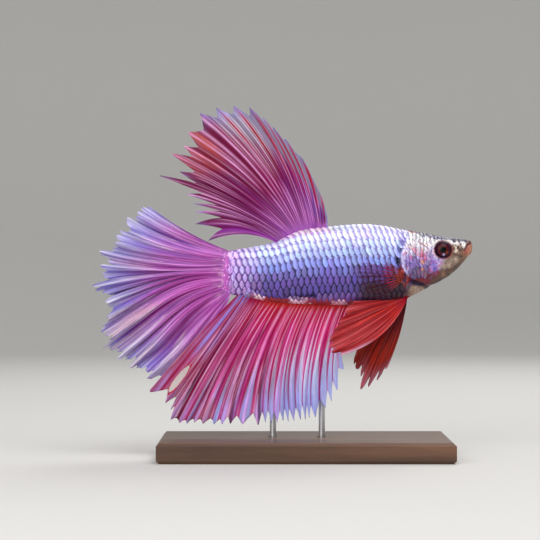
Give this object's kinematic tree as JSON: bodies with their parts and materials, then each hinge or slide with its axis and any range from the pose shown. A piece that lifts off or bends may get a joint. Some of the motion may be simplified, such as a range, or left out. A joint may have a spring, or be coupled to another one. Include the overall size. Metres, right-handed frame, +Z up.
{
  "type": "betta fish model",
  "caption": "Life-size still model of a male betta fish with spread, pleated fins, held by slim steel rods on a flat wooden base.",
  "frame": {"origin": "middle of the underside of the stand's base", "axes": "+X towards the fish's snout, +Y to the fish's left, +Z up"},
  "size_m": [0.076, 0.034, 0.0704],
  "materials": {
    "skin": "pearly scales, near white on the back, violet on the belly, dark edges, satin sheen",
    "eye": "dark red iris round a black pupil, wet gloss",
    "dorsal_fin": "thin rayed membrane, magenta and red with pale edges, soft satin",
    "anal_fin": "thin rayed membrane, rose red fading to pale blue tips, soft satin",
    "tail_fin": "thin rayed membrane, lavender and mauve with pale blue tips, soft satin",
    "pectoral_fins": "clear thin membrane with fine reddish rays",
    "pelvic_fins": "thin rayed membrane, orange red with white tips, soft satin",
    "stand_wood": "oiled dark walnut, satin",
    "stand_steel": "brushed"
  },
  "bodies": {
    "root": {"head": "skin", "lower_jaw": "skin", "gill_cover_left": "skin", "gill_cover_right": "skin", "trunk": "skin", "tail_stalk": "skin", "eye_left": "eye", "eye_right": "eye", "dorsal_fin": "dorsal_fin", "anal_fin": "anal_fin", "tail_fin": "tail_fin", "pectoral_fin_left": "pectoral_fins", "pectoral_fin_right": "pectoral_fins", "pelvic_fin_left": "pelvic_fins", "pelvic_fin_right": "pelvic_fins", "stand_base": "stand_wood", "stand_rod_front": "stand_steel", "stand_rod_rear": "stand_steel"}
  },
  "joints": []
}
